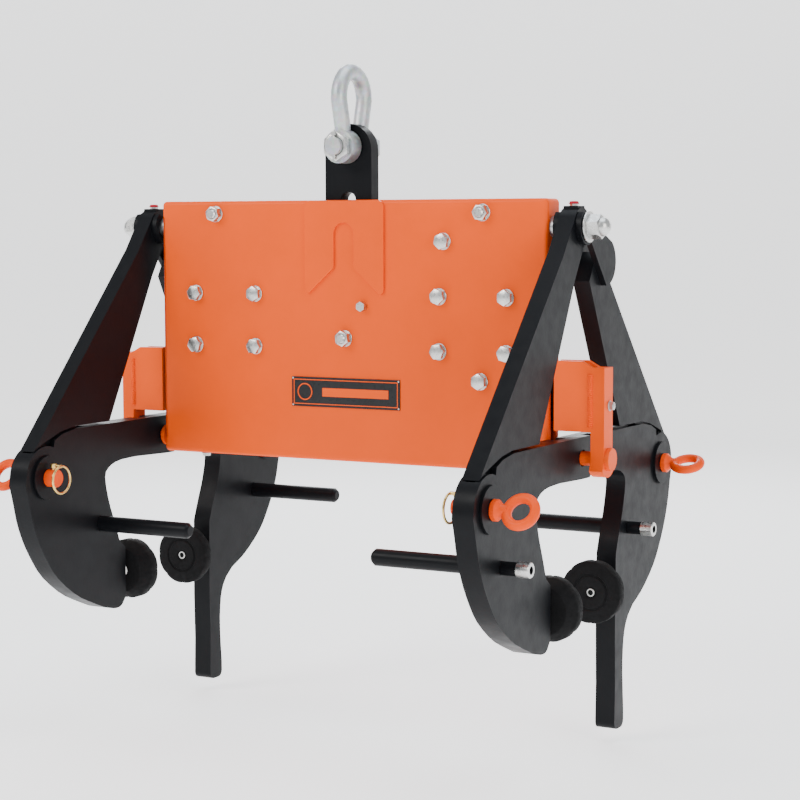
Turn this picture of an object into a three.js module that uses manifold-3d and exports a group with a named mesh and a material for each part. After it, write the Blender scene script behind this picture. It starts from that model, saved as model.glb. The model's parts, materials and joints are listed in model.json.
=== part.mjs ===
// Four-arm lifting clamp for concrete slabs and kerbs.
// Millimetres, +Z up, front of the clamp faces -Y, long axis of the housing along X.
// The lengths below belong to the large size of the clamp, with M16 face bolts. The clamp is
// built in its smaller size, with M12 face bolts, which is BUILT_SIZE of that throughout.
// "u" is the distance from the middle plane (Y = 0), counted outward on either side.
import * as THREE from 'three';
import { mergeVertices } from 'three/addons/utils/BufferGeometryUtils.js';
import Module from 'manifold-3d';

const wasm = await Module();
wasm.setup();

// ---- driving dimensions -------------------------------------------------------------
const BUILT_SIZE = 0.8;          // M12 face bolts (19 mm heads) against M16 (24 mm heads)
const GAP = 0.3;                 // play left between neighbouring pieces
const ROUND = 16;                // facets of a full circle on most round parts
const FINE = 24;                 // facets of the larger discs and running bores
const COARSE = 10;               // facets of bolts and small stems

// housing: two shallow shells bolted back to back
const HOUSING_HALF_LENGTH = 384;
const HOUSING_TOP = 47;
const HOUSING_BOTTOM = -407;
const HOUSING_HALF_DEPTH = 26;
const SHEET = 5;
const TIE_BOLT_X = 310;
const TIE_BOLT_Z = [-117, -210];
const BOLT_SHANK = 8;            // M16
const HEX_16 = 12 / Math.cos(Math.PI / 6);
const TRAVEL_STUD_Z = -192;

// latch inside the housing that can hold the jaws open
const PAWL_PIVOT = [36, -136];
const PAWL_ASIDE = 24;           // degrees swung clear of the latch pin
const LATCH_PIN_Z = -28;

// keyhole plate and the slot behind it
const KEYPLATE_HALF_WIDTH = 79;
const KEYPLATE_BOTTOM = -116;
const KEYPLATE_THICK = 5;
const KEYSLOT_HALF_WIDTH = 20;
const KEYSLOT_TOP = -12;

// lifting bar, crossbeam and end brackets (one rising and falling unit)
const BAR_HALF_WIDTH = 46;
const BAR_HALF_THICK = 13;
const BAR_TOP = 178;
const SHACKLE_PIN_Z = 138;
const SHACKLE_PIN_R = 15.5;
const LOCK_HOLE_Z = 46;
const EAR_Y = [16, 45];          // shackle ears either side of the bar
const EAR_R = 29;
const SHACKLE_NUT_R = 26;
const BOW_TOP = 281;
const BOW_R = 14;
const HOOK_POINT_Z = BOW_TOP - 2 * BOW_R;
const BEAM_TOP = -235;
const BEAM_BOTTOM = -320;
const BEAM_HALF_THICK = 8;
const TRAVEL = 55;               // how far the housing can rise on the bar
const BRACKET_X = [393, 457];    // flat cheeks either side of the beam end
const BRACKET_Z = [-335, -219];
const HANGER_X = [459, 483];     // thick outer hanger that carries the horn pin
const HANGER_Z = [-410, -229];
const BRACKET_HALF_DEPTH = 18;

// linkage: P = top shaft, K = knee pin, H = horn pin, as (u, z)
const H_Z = -380;
const K_U = 345;
const K_Z = -423;
const ARM_PLANE_X = 420;
const ARM_THICK = 30;
const JAW_THICK = 36;
const TONGUE_THICK = 15;
const SHAFT_R = 18;
const HEAD_R = 32;
const HORN_R = 35;
const HORN_PIN_R = 12;
const KNEE_R = 54;
const KNEE_PIN_R = 15;
const BOSS_R = 38;
const BOSS_HIGH = 5;
const CHEEK_THICK = 10;
const CHEEK_FACE_X = 445;        // outer face of the outer fork cheek
const WASHER_THICK = 3.5;

// pads and stop bars
const PAD_Z = -618;
const PAD_R = 54;
const PAD_RIM = 22;              // depth of the pad at its full radius
const PAD_FACE_U = 74;
const BALL_U = 106;
const BALL_R = 15;
const TIP_U = 126;               // inner edge of a front jaw tip
const TAIL_U = [140, 180];       // inner and outer edge of a rear jaw tail
const TAIL_BOTTOM = -868;
const STOP_BAR_R = 14;
const STOP_BAR_LENGTH = 190;
const STOP_BAR_NEAR = [195, -521];
const STOP_BAR_FAR = [302, -518];

// ---- materials ----------------------------------------------------------------------
const paint = (name, color, metalness, roughness) =>
  new THREE.MeshStandardMaterial({ name, color, metalness, roughness });
const ORANGE = paint('orange_paint', 0xe87420, 0.1, 0.45);
const BLACK = paint('black_paint', 0x2b2d30, 0.2, 0.5);
const ZINC = paint('zinc_plate', 0xb9bcc0, 0.9, 0.35);
const GALVANISED = paint('galvanised_steel', 0x9ea3a6, 0.85, 0.5);
const YELLOW_ZINC = paint('yellow_zinc', 0xc9a648, 0.9, 0.35);
const RUBBER = paint('black_rubber', 0x1d1d1e, 0.0, 0.9);
const RED_CAP = paint('red_plastic', 0xa0203a, 0.0, 0.6);
const BARE = paint('machined_steel', 0x8d9094, 0.9, 0.4);
const SIGN = paint('sign_plate', 0x1b1c1e, 0.1, 0.5);

// ---- solid helpers ------------------------------------------------------------------
const solid = (geometry) => {
  const bare = geometry.clone();
  bare.deleteAttribute('normal');
  bare.deleteAttribute('uv');
  const merged = mergeVertices(bare, 1e-4);
  return new wasm.Manifold(new wasm.Mesh({
    numProp: 3,
    vertProperties: new Float32Array(merged.attributes.position.array),
    triVerts: new Uint32Array(merged.index.array),
  }));
};
const join = (...parts) => parts.reduce((a, b) => a.add(b));
const cut = (body, ...tools) => tools.reduce((a, b) => a.subtract(b), body);
const toMesh = (name, body, material) => {
  const m = body.getMesh();
  const geometry = new THREE.BufferGeometry();
  geometry.setAttribute('position', new THREE.BufferAttribute(new Float32Array(m.vertProperties), 3));
  geometry.setIndex(new THREE.BufferAttribute(new Uint32Array(m.triVerts), 1));
  const split = geometry.toNonIndexed();
  split.computeVertexNormals();
  const mesh = new THREE.Mesh(split, material.clone());
  mesh.name = name;
  return mesh;
};

const shapeOf = (points) => new THREE.Shape(points.map(([a, b]) => new THREE.Vector2(a, b)));
// profile drawn in (y, z), thick along X from x0 to x1
const slabYZ = (points, x0, x1) => {
  const g = new THREE.ExtrudeGeometry(shapeOf(points), { depth: x1 - x0, bevelEnabled: false });
  g.applyMatrix4(new THREE.Matrix4().makeBasis(
    new THREE.Vector3(0, 1, 0), new THREE.Vector3(0, 0, 1), new THREE.Vector3(1, 0, 0)));
  g.translate(x0, 0, 0);
  return solid(g);
};
// profile drawn in (x, z), thick along Y from y0 to y1
const slabXZ = (points, y0, y1) => {
  const g = new THREE.ExtrudeGeometry(shapeOf(points), { depth: y1 - y0, bevelEnabled: false });
  g.applyMatrix4(new THREE.Matrix4().makeBasis(
    new THREE.Vector3(1, 0, 0), new THREE.Vector3(0, 0, 1), new THREE.Vector3(0, -1, 0)));
  g.translate(0, y1, 0);
  return solid(g);
};
const box = (x0, x1, y0, y1, z0, z1) => {
  const g = new THREE.BoxGeometry(x1 - x0, y1 - y0, z1 - z0);
  g.translate((x0 + x1) / 2, (y0 + y1) / 2, (z0 + z1) / 2);
  return solid(g);
};
const rodX = (r, x0, x1, y, z, n = ROUND) => {
  const g = new THREE.CylinderGeometry(r, r, x1 - x0, n);
  g.rotateZ(Math.PI / 2);
  g.translate((x0 + x1) / 2, y, z);
  return solid(g);
};
const rodY = (r, y0, y1, x, z, n = ROUND) => {
  const g = new THREE.CylinderGeometry(r, r, y1 - y0, n);
  g.translate(x, (y0 + y1) / 2, z);
  return solid(g);
};
const rodZ = (r, z0, z1, x, y, n = ROUND) => {
  const g = new THREE.CylinderGeometry(r, r, z1 - z0, n);
  g.rotateX(Math.PI / 2);
  g.translate(x, y, (z0 + z1) / 2);
  return solid(g);
};
// body turned from a profile of [radius, height], its axis along +X, starting at x = 0
const turnedX = (profile, n = ROUND) => {
  const g = new THREE.LatheGeometry(profile.map(([r, h]) => new THREE.Vector2(r, h)), n);
  g.rotateZ(-Math.PI / 2);
  return solid(g);
};
const arc = (cu, cz, r, fromDeg, toDeg, n) => {
  const points = [];
  for (let i = 0; i <= n; i += 1) {
    const a = THREE.MathUtils.degToRad(fromDeg + ((toDeg - fromDeg) * i) / n);
    points.push([cu + r * Math.cos(a), cz + r * Math.sin(a)]);
  }
  return points;
};
const curve = (points, n) =>
  new THREE.SplineCurve(points.map(([a, b]) => new THREE.Vector2(a, b))).getPoints(n)
    .map((p) => [p.x, p.y]);
const onSide = (side, points) => points.map(([u, z]) => [side * u, z]);
const mirroredX = (end, body) => (end > 0 ? body : body.mirror([1, 0, 0]));

// ---- housing ------------------------------------------------------------------------
function housingShell(side) {
  const L = HOUSING_HALF_LENGTH;
  const outer = side * HOUSING_HALF_DEPTH;
  const inner = side * (HOUSING_HALF_DEPTH - SHEET);
  const seam = side * GAP / 2;
  const span = (a, b) => [Math.min(a, b), Math.max(a, b)];
  const radius = 8;
  const face = [
    ...arc(L - radius, HOUSING_TOP - radius, radius, 0, 90, 4),
    ...arc(-L + radius, HOUSING_TOP - radius, radius, 90, 180, 4),
    ...arc(-L + radius, HOUSING_BOTTOM + radius, radius, 180, 270, 4),
    ...arc(L - radius, HOUSING_BOTTOM + radius, radius, 270, 360, 4),
  ];
  let shell = slabXZ(face, ...span(outer, seam));
  shell = cut(shell, box(-L + SHEET, L - SHEET, ...span(inner, seam - side), HOUSING_BOTTOM + SHEET,
    HOUSING_TOP - SHEET));
  const slotHalf = BEAM_HALF_THICK + 2;
  const holes = [
    // way for the lifting bar through the top
    box(-BAR_HALF_WIDTH - 4, BAR_HALF_WIDTH + 4, ...span(side * (BAR_HALF_THICK + 3), seam - side),
      HOUSING_TOP - SHEET - 1, HOUSING_TOP + 1),
    // way for the crossbeam through both ends
    box(-L - 1, L + 1, ...span(side * slotHalf, seam - side), BEAM_BOTTOM - TRAVEL - 6, BEAM_TOP + 6),
    // top shafts
    rodX(SHAFT_R + GAP, -L - 1, L + 1, 0, 0, FINE),
    rodY(BOLT_SHANK + GAP, ...span(outer + side, inner - side), 0, TRAVEL_STUD_Z, COARSE),
  ];
  for (const x of [-TIE_BOLT_X, TIE_BOLT_X]) {
    for (const z of TIE_BOLT_Z) {
      holes.push(rodY(BOLT_SHANK + GAP, ...span(outer + side, inner - side), x, z, COARSE));
    }
  }
  if (side < 0) {
    holes.push(rodY(5 + GAP, outer - 1, inner + 1, PAWL_PIVOT[0], PAWL_PIVOT[1], 12));
  }
  return cut(shell, ...holes);
}

function keyholePlate() {
  const y1 = -HOUSING_HALF_DEPTH - GAP / 2;
  const W = KEYPLATE_HALF_WIDTH;
  const S = KEYSLOT_HALF_WIDTH;
  const outline = [
    ...arc(W - 12, HOUSING_TOP - 1 - 12, 12, 0, 90, 5),
    ...arc(-W + 12, HOUSING_TOP - 1 - 12, 12, 90, 180, 5),
    ...arc(-W + 9, KEYPLATE_BOTTOM + 9, 9, 180, 260, 4),
    [-S, -70],
    ...arc(0, KEYSLOT_TOP, S, 180, 0, 10),
    [S, -70],
    ...arc(W - 9, KEYPLATE_BOTTOM + 9, 9, 280, 360, 4),
  ];
  const plate = slabXZ(outline, y1 - KEYPLATE_THICK, y1);
  return cut(plate, rodY(9.5, y1 - 6, y1 + 1, PAWL_PIVOT[0], PAWL_PIVOT[1], 16));
}

function signPlate() {
  const y1 = -HOUSING_HALF_DEPTH - GAP / 2;
  return box(-108, 109, y1 - 1.6, y1, -313, -261);
}

function tieBolt(x, z) {
  const face = HOUSING_HALF_DEPTH + GAP / 2;
  return join(
    rodY(BOLT_SHANK, -face - 1, face + 20, x, z, COARSE),
    rodY(HEX_16, -face - 10, -face, x, z, 6),
    rodY(HEX_16, face, face + 13, x, z, 6),
  );
}

function travelStud() {
  const face = HOUSING_HALF_DEPTH + GAP / 2;
  return join(
    rodY(BOLT_SHANK, -face - 18, face + 1, 0, TRAVEL_STUD_Z, COARSE),
    rodY(HEX_16, -face - 13, -face, 0, TRAVEL_STUD_Z, 6),
    rodY(HEX_16, face, face + 10, 0, TRAVEL_STUD_Z, 6),
  );
}

function barGuide(end) {
  const inner = BAR_HALF_WIDTH + 0.5;
  const depth = HOUSING_HALF_DEPTH - SHEET - GAP / 2;
  const block = box(inner, inner + 26, -BAR_HALF_THICK - 2, depth, -80, 36);
  return mirroredX(end, block);
}

// short shaft on a block inside the housing; the arms of one end turn on it
function topShaft(end) {
  const depth = HOUSING_HALF_DEPTH - SHEET - GAP / 2;
  const blockEnd = HOUSING_HALF_LENGTH - SHEET - GAP / 2;
  const body = join(
    box(blockEnd - 60, blockEnd, -depth, depth, -depth - 6, depth + 6),
    rodX(SHAFT_R, blockEnd - 1, CHEEK_FACE_X + GAP, 0, 0, FINE),
    rodX(10, CHEEK_FACE_X, CHEEK_FACE_X + 23, 0, 0, 12),
  );
  return mirroredX(end, body);
}

function domeNut(end) {
  const base = CHEEK_FACE_X + WASHER_THICK + 3 * GAP;
  const nut = turnedX([[10.3, 0], [20.4, 0], [20.8, 24], [18, 29], [11, 34.6], [0, 36], [0, 22],
    [10.3, 20], [10.3, 0]], 20);
  const hex = rodX(18 / Math.cos(Math.PI / 6), -1, 40, 0, 0, 6);
  return mirroredX(end, nut.intersect(hex).translate([base, 0, 0]));
}

function shaftWasher(end) {
  const face = CHEEK_FACE_X + 2 * GAP;
  const washer = cut(rodX(26, face, face + WASHER_THICK, 0, 0, FINE),
    rodX(10 + GAP, face - 1, face + WASHER_THICK + 1, 0, 0, 12));
  return mirroredX(end, washer);
}

function greaseNipple(end) {
  const x = ARM_PLANE_X;
  const body = join(
    rodZ(5, 24, HEAD_R + 3, x, 0, COARSE),
    rodZ(7.5, HEAD_R + 2.3, HEAD_R + 6, x, 0, 6),
    rodZ(9, HEAD_R + 5, HEAD_R + 10, x, 0, 12),
  );
  return mirroredX(end, body);
}

// ---- lifting bar, crossbeam, brackets -----------------------------------------------
function liftingBar() {
  const W = BAR_HALF_WIDTH;
  const outline = [
    ...arc(0, BAR_TOP - W, W, 0, 180, 16),
    [-W, BEAM_TOP + GAP],
    [W, BEAM_TOP + GAP],
  ];
  const slot = [
    ...arc(0, TRAVEL_STUD_Z + TRAVEL, BOLT_SHANK + 1, 0, 180, 8),
    ...arc(0, TRAVEL_STUD_Z, BOLT_SHANK + 1, 180, 360, 8),
  ];
  return cut(
    slabXZ(outline, -BAR_HALF_THICK, BAR_HALF_THICK),
    slabXZ(slot, -BAR_HALF_THICK - 1, BAR_HALF_THICK + 1),
    rodY(SHACKLE_PIN_R + 1, -20, 20, 0, SHACKLE_PIN_Z),
    rodY(15, -20, 20, 0, LOCK_HOLE_Z),
    rodY(6 + GAP, -20, 20, 0, LATCH_PIN_Z, 12),
  );
}

function latchPin() {
  return join(
    rodY(6, -20.4, BAR_HALF_THICK - 1, 0, LATCH_PIN_Z, 12),
    rodY(9, -BAR_HALF_THICK - 2.6, -BAR_HALF_THICK - GAP, 0, LATCH_PIN_Z, 12),
  );
}

// flat pawl that hangs from its pivot and catches the latch pin to hold the jaws open
function latchPawl() {
  const [px, pz] = PAWL_PIVOT;
  const outline = [
    ...arc(px, pz, 13, -120, 30, 6),
    [32, -104],
    [17, -78],
    [15, -46],
    [-15, -46],
    [-16, -70],
    [8, -73],
    [13, -98],
    [22, -122],
  ];
  const swing = THREE.MathUtils.degToRad(-PAWL_ASIDE);
  const aside = outline.map(([x, z]) => [
    px + (x - px) * Math.cos(swing) - (z - pz) * Math.sin(swing),
    pz + (x - px) * Math.sin(swing) + (z - pz) * Math.cos(swing),
  ]);
  const y0 = -HOUSING_HALF_DEPTH + SHEET + 1;
  return cut(slabXZ(aside, y0, y0 + 4), rodY(5 + GAP, y0 - 1, y0 + 6, px, pz, 12));
}

function pawlPivot() {
  const [x, z] = PAWL_PIVOT;
  const plateFace = -HOUSING_HALF_DEPTH - GAP;
  return join(
    rodY(5, plateFace - 1, -BAR_HALF_THICK - 1, x, z, 12),
    rodY(9, plateFace - 11, plateFace, x, z, 6),
  );
}

function crossbeam() {
  const half = BRACKET_X[1];
  return box(-half, half, -BEAM_HALF_THICK, BEAM_HALF_THICK, BEAM_BOTTOM, BEAM_TOP);
}

function bracket(end) {
  const [x0, x1] = BRACKET_X;
  const [hx0, hx1] = HANGER_X;
  const inner = BEAM_HALF_THICK + GAP;
  const D = BRACKET_HALF_DEPTH;
  const radius = 14;
  const hanger = [
    [-D, HANGER_Z[1]],
    [-D, H_Z],
    ...arc(0, H_Z, 30, 217, 323, 10),
    [D, H_Z],
    [D, HANGER_Z[1]],
  ];
  const cheek = [
    [x0, BRACKET_Z[0]],
    [hx0 + 2, BRACKET_Z[0]],
    [hx0 + 2, BRACKET_Z[1] - 10],
    [x1 - radius, BRACKET_Z[1]],
    [x0, BRACKET_Z[1]],
  ];
  const body = cut(
    join(
      slabXZ(cheek, -D, -inner),
      slabXZ(cheek, inner, D),
      slabYZ(hanger, hx0, hx1),
    ),
    rodX(HORN_PIN_R + GAP, hx0 - 1, hx1 + 1, 0, H_Z),
  );
  return mirroredX(end, body);
}

// pin that carries both horns of one end; round head outside the hanger
function hornPin(end) {
  const body = join(
    rodX(HORN_PIN_R, 391, HANGER_X[1] + 2, 0, H_Z),
    rodX(19, HANGER_X[1] + GAP, HANGER_X[1] + 8, 0, H_Z),
    rodX(19, 391, 398, 0, H_Z),
  );
  return mirroredX(end, body);
}

// ---- shackle ------------------------------------------------------------------------
function shackleBow() {
  const [e0, e1] = EAR_Y;
  const mid = (e0 + e1) / 2;
  const r = BOW_R;
  const path = new THREE.CatmullRomCurve3([
    [-mid, SHACKLE_PIN_Z], [-mid, 152], [-mid, 168], [-38, 200], [-43, 224], [-35, 248],
    [-18, BOW_TOP - r - 4], [0, BOW_TOP - r], [18, BOW_TOP - r - 4], [35, 248], [43, 224], [38, 200],
    [mid, 168], [mid, 152], [mid, SHACKLE_PIN_Z],
  ].map(([y, z]) => new THREE.Vector3(0, y, z)));
  const ring = arc(0, 0, r, 0, 330, 11);
  const g = new THREE.ExtrudeGeometry(shapeOf(ring), { steps: 26, extrudePath: path, bevelEnabled: false });
  const ears = [
    rodY(EAR_R, -e1, -e0, 0, SHACKLE_PIN_Z, FINE),
    rodY(EAR_R, e0, e1, 0, SHACKLE_PIN_Z, FINE),
  ];
  return cut(join(solid(g), ...ears), rodY(SHACKLE_PIN_R + GAP, -60, 60, 0, SHACKLE_PIN_Z));
}

function shacklePin() {
  const [, e1] = EAR_Y;
  return cut(
    join(
      rodY(SHACKLE_PIN_R, -e1 - 20, e1 + 2, 0, SHACKLE_PIN_Z),
      rodY(SHACKLE_NUT_R, e1 + GAP, e1 + 15, 0, SHACKLE_PIN_Z, 6),
    ),
    rodZ(2.8, SHACKLE_PIN_Z - 20, SHACKLE_PIN_Z + 20, 0, -e1 - 16, 8),
  );
}

function shackleNut() {
  const [, e1] = EAR_Y;
  return cut(rodY(SHACKLE_NUT_R, -e1 - 12, -e1 - GAP, 0, SHACKLE_PIN_Z, 6),
    rodY(SHACKLE_PIN_R + GAP, -60, 0, 0, SHACKLE_PIN_Z));
}

function cotterPin() {
  const y = -EAR_Y[1] - 16;
  const eyeZ = SHACKLE_PIN_Z + SHACKLE_PIN_R + 5.5;
  return join(
    rodZ(2.4, SHACKLE_PIN_Z - SHACKLE_PIN_R - 9, eyeZ - 2, 0, y, 8),
    rodY(4.5, y - 2.4, y + 2.4, 0, eyeZ, 10),
  );
}

// ---- arms ---------------------------------------------------------------------------
const ARM_OUTER_TOP = [70, -42];
const ARM_OUTER_FOOT = [384, -387];
const ARM_INNER_FOOT = [163, -341];
const ARM_INNER_TOP = [30, -90];
const TO_P = Math.atan2(-K_Z, -K_U);

// thin tongue that enters the fork of the jaw
function kneeTongue(side) {
  const half = 44;
  const dir = [Math.cos(TO_P), Math.sin(TO_P)];
  const along = (r, w) => [K_U + dir[0] * r - dir[1] * w, K_Z + dir[1] * r + dir[0] * w];
  const strip = [along(0, half), along(0, -half), along(120, -half), along(120, half)];
  const x0 = ARM_PLANE_X - TONGUE_THICK / 2;
  const x1 = ARM_PLANE_X + TONGUE_THICK / 2;
  return join(slabYZ(onSide(side, strip), x0, x1), rodX(half, x0, x1, side * K_U, K_Z, 20));
}

function armBlade(side, top) {
  const outline = [
    ...top,
    ARM_OUTER_TOP,
    ARM_OUTER_FOOT,
    [K_U, K_Z],
    ARM_INNER_FOOT,
    ARM_INNER_TOP,
  ];
  const x0 = ARM_PLANE_X - ARM_THICK / 2;
  const x1 = ARM_PLANE_X + ARM_THICK / 2;
  const belowHorn = [[K_U + 10, -366], [300, -348], [262, -342], [60, -341], [60, -480], [K_U + 10, -480]];
  const blade = cut(
    slabYZ(onSide(side, outline), x0, x1),
    rodX(KNEE_R + 1.2, x0 - 1, x1 + 1, side * K_U, K_Z, 32),
    slabYZ(onSide(side, belowHorn), x0 - 1, x1 + 1),
  );
  return join(blade, kneeTongue(side));
}

function frontArm(end) {
  const side = -1;
  const x0 = ARM_PLANE_X - ARM_THICK / 2 + GAP;
  const x1 = ARM_PLANE_X + ARM_THICK / 2 - GAP;
  const neck = [[26, 18], ARM_OUTER_TOP, [100, -80], [70, -160], ARM_INNER_TOP, [-8, -31], [-26, 0]];
  const body = cut(
    join(
      armBlade(side, []),
      slabYZ(onSide(side, neck), x0, x1),
      rodX(HEAD_R, x0, x1, 0, 0, 20),
      box(ARM_PLANE_X - 13, ARM_PLANE_X + 13, -13, 13, 20, HEAD_R + 2),
    ),
    rodX(SHAFT_R + GAP, 380, 470, 0, 0, FINE),
    rodX(KNEE_PIN_R + GAP, 380, 470, side * K_U, K_Z),
    rodZ(5 + GAP, 15, 40, ARM_PLANE_X, 0, COARSE),
  );
  return mirroredX(end, body);
}

function rearArm(end) {
  const side = 1;
  const inner0 = ARM_PLANE_X - ARM_THICK / 2;
  const inner1 = ARM_PLANE_X + ARM_THICK / 2;
  const lobe = [78, -58];
  const cheekOutline = [
    ...arc(0, 0, 30, 126, 300, 10),
    ...arc(lobe[0], lobe[1], 40, 270, 414, 12),
  ];
  const cheek = (x0, x1) => slabYZ(onSide(side, cheekOutline), x0, x1);
  const body = cut(
    join(
      armBlade(side, [[52, -52]]),
      cheek(inner0 - CHEEK_THICK, inner0),
      cheek(inner1, inner1 + CHEEK_THICK),
    ),
    rodX(SHAFT_R + GAP, 380, 470, 0, 0, FINE),
    rodX(KNEE_PIN_R + GAP, 380, 470, side * K_U, K_Z),
  );
  return mirroredX(end, body);
}

// ---- jaws ---------------------------------------------------------------------------
const JAW_OUTER = [[401, -432], [393, -460], [384, -495], [371, -527], [351, -561], [320, -600],
  [268, -638], [220, -660]];
const JAW_INNER = [[142, -560], [155, -526], [172, -484], [182, -440], [170, -423], [140, -414],
  [90, -412]];

function jawOutline(side) {
  const back = curve(JAW_OUTER, 18);
  const inner = curve(JAW_INNER, 14);
  const nose = 6;
  const hornEnd = [
    [0, H_Z - HORN_R],
    [-HORN_R + nose, H_Z - HORN_R],
    [-HORN_R, H_Z - HORN_R + nose],
    [-HORN_R, H_Z + HORN_R - nose],
    [-HORN_R + nose, H_Z + HORN_R],
    [0, H_Z + HORN_R],
  ];
  const top = [[262, -346], [300, -352], [322, -361]];
  const knee = arc(K_U, K_Z, KNEE_R, 112, 5, 9);
  const foot = side < 0
    ? [...curve([[190, -672], [160, -679], [140, -677], [TIP_U, -661]], 7), [TIP_U, -572]]
    : [...curve([[199, -676], [186, -694], [178, -722], [175, -770], [TAIL_U[1], -838]], 9),
      ...arc(TAIL_U[1] - 12, TAIL_BOTTOM + 12, 12, 0, -90, 4),
      ...arc(TAIL_U[0] + 12, TAIL_BOTTOM + 12, 12, 270, 180, 4), [142, -790], [TAIL_U[0], -700]];
  return [...back, ...foot, ...inner, ...hornEnd, ...top, ...knee];
}

// room for the arm tongue between the two cheeks of the jaw
function forkSlot(side) {
  const half = 45.5;
  const rad = THREE.MathUtils.degToRad;
  const at = (deg, r) => [K_U + r * Math.cos(rad(deg)), K_Z + r * Math.sin(rad(deg))];
  const toP = THREE.MathUtils.radToDeg(TO_P);
  const first = at(toP - 90 - 16, half);
  const last = at(toP + 90, half);
  const step = (p, deg, r) => [p[0] + r * Math.cos(rad(deg)), p[1] + r * Math.sin(rad(deg))];
  const x0 = ARM_PLANE_X - TONGUE_THICK / 2 - 0.5;
  const x1 = ARM_PLANE_X + TONGUE_THICK / 2 + 0.5;
  const wedge = [first, step(first, toP - 16, 90), step(last, toP, 150), last];
  return join(slabYZ(onSide(side, wedge), x0, x1), rodX(half, x0, x1, side * K_U, K_Z, 20));
}

function jaw(end, side, bar) {
  const x0 = ARM_PLANE_X - JAW_THICK / 2;
  const x1 = ARM_PLANE_X + JAW_THICK / 2;
  const [barU, barZ] = bar;
  // the horns are half-lapped at the horn pin, in the same half-turn pattern as the stop bars
  const keepsOuterHalf = (side < 0) === (end > 0);
  const lap = keepsOuterHalf
    ? box(x0 - 1, ARM_PLANE_X + GAP, -60, 60, H_Z - 60, H_Z + 60)
    : box(ARM_PLANE_X - GAP, x1 + 1, -60, 60, H_Z - 60, H_Z + 60);
  const body = cut(
    join(
      slabYZ(onSide(side, jawOutline(side)), x0, x1),
      rodX(BOSS_R, x0 - BOSS_HIGH, x1 + BOSS_HIGH, side * K_U, K_Z, 20),
    ),
    forkSlot(side),
    lap,
    rodX(KNEE_PIN_R + GAP, 380, 470, side * K_U, K_Z),
    rodX(HORN_PIN_R + 2.2, 380, 470, 0, H_Z),
    rodX(9 + GAP, 380, 470, side * barU, barZ, 12),
    rodY(8 + GAP, ...(side < 0 ? [-TIP_U - 30, -TIP_U + 1] : [TAIL_U[0] - 1, TAIL_U[0] + 30]),
      ARM_PLANE_X, PAD_Z, 12),
  );
  return mirroredX(end, body);
}

// ---- knee pins ----------------------------------------------------------------------
function eyeRing(radius, tube, x, y, z, ringPlaneDeg, n = 16, m = 8) {
  const g = new THREE.TorusGeometry(radius, tube, m, n);
  g.rotateX(THREE.MathUtils.degToRad(ringPlaneDeg));
  g.translate(x, y, z);
  return solid(g);
}

function pullPin(end, side, ringDeg) {
  const y = side * K_U;
  const x1 = ARM_PLANE_X + JAW_THICK / 2 + BOSS_HIGH + GAP;
  const ringX = x1 + 46;
  const body = cut(
    join(
      rodX(KNEE_PIN_R, 377, x1 + 2, y, K_Z),
      rodX(17, x1, x1 + 22, y, K_Z),
      eyeRing(23, 8, ringX, y, K_Z, ringDeg),
    ),
    rodZ(4, K_Z - 30, K_Z + 30, 387, y, 10),
  );
  return mirroredX(end, body);
}

function linchPin(end, side) {
  const y = side * K_U;
  const ringX = 371;
  const g = new THREE.TorusGeometry(23, 2.2, 6, 16);
  g.rotateY(Math.PI / 2);
  g.translate(ringX, y, K_Z - 2);
  const body = join(
    solid(g),
    rodZ(3.6, K_Z - 20, K_Z + 24, 387, y, 8),
    box(ringX - 2.2, 391, y - 4, y + 4, K_Z + 18.5, K_Z + 26),
  );
  return mirroredX(end, body);
}

// ---- stop bars ----------------------------------------------------------------------
function stopBar(end, side, bar) {
  const [u, z] = bar;
  const y = side * u;
  const inner = ARM_PLANE_X - JAW_THICK / 2 - GAP;
  const outer = ARM_PLANE_X + JAW_THICK / 2 + GAP;
  const chamfer = turnedX([[0, 0], [9, 0], [STOP_BAR_R, 6], [STOP_BAR_R, STOP_BAR_LENGTH],
    [0, STOP_BAR_LENGTH]]).translate([inner - STOP_BAR_LENGTH, y, z]);
  const body = join(
    chamfer,
    rodX(9, inner - 1, outer + 1, y, z, 12),
    cut(rodX(11, outer, outer + 48, y, z, 16), rodX(6, outer + 40, outer + 50, y, z, 6)),
  );
  return mirroredX(end, body);
}

// ---- pads ---------------------------------------------------------------------------
function padStud(end, side) {
  const base = side < 0 ? TIP_U : TAIL_U[0];
  const y = (u) => side * u;
  const span = (a, b) => [Math.min(y(a), y(b)), Math.max(y(a), y(b))];
  const g = new THREE.SphereGeometry(BALL_R, 12, 8);
  g.translate(ARM_PLANE_X, y(BALL_U), PAD_Z);
  const body = join(
    solid(g),
    rodY(8, ...span(BALL_U, base + 28), ARM_PLANE_X, PAD_Z, 12),
    rodY(14, ...span(base - GAP, base - 4), ARM_PLANE_X, PAD_Z, 6),
  );
  return mirroredX(end, body);
}

function pad(end, side) {
  const back = BALL_U + 8;
  const g = new THREE.SphereGeometry(BALL_R + 1.2, 12, 8);
  g.translate(ARM_PLANE_X, side * BALL_U, PAD_Z);
  const drum = turnedX([
    [0, PAD_FACE_U],
    [PAD_R, PAD_FACE_U],
    [PAD_R, PAD_FACE_U + PAD_RIM],
    [PAD_R - 14, back],
    [0, back],
  ], FINE).rotate([0, 0, side * 90]).translate([ARM_PLANE_X, 0, PAD_Z]);
  return mirroredX(end, cut(drum, solid(g)));
}

// ---- assembly -----------------------------------------------------------------------
// the whole clamp hangs from the inside of the shackle bow, which is the origin
const clamp = new THREE.Group();
clamp.name = 'slab_lifting_clamp';
const hung = new THREE.Group();
hung.scale.setScalar(BUILT_SIZE);
hung.position.set(0, 0, -HOOK_POINT_Z * BUILT_SIZE);
clamp.add(hung);
const add = (name, body, material) => hung.add(toMesh(name, body, material));

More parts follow.
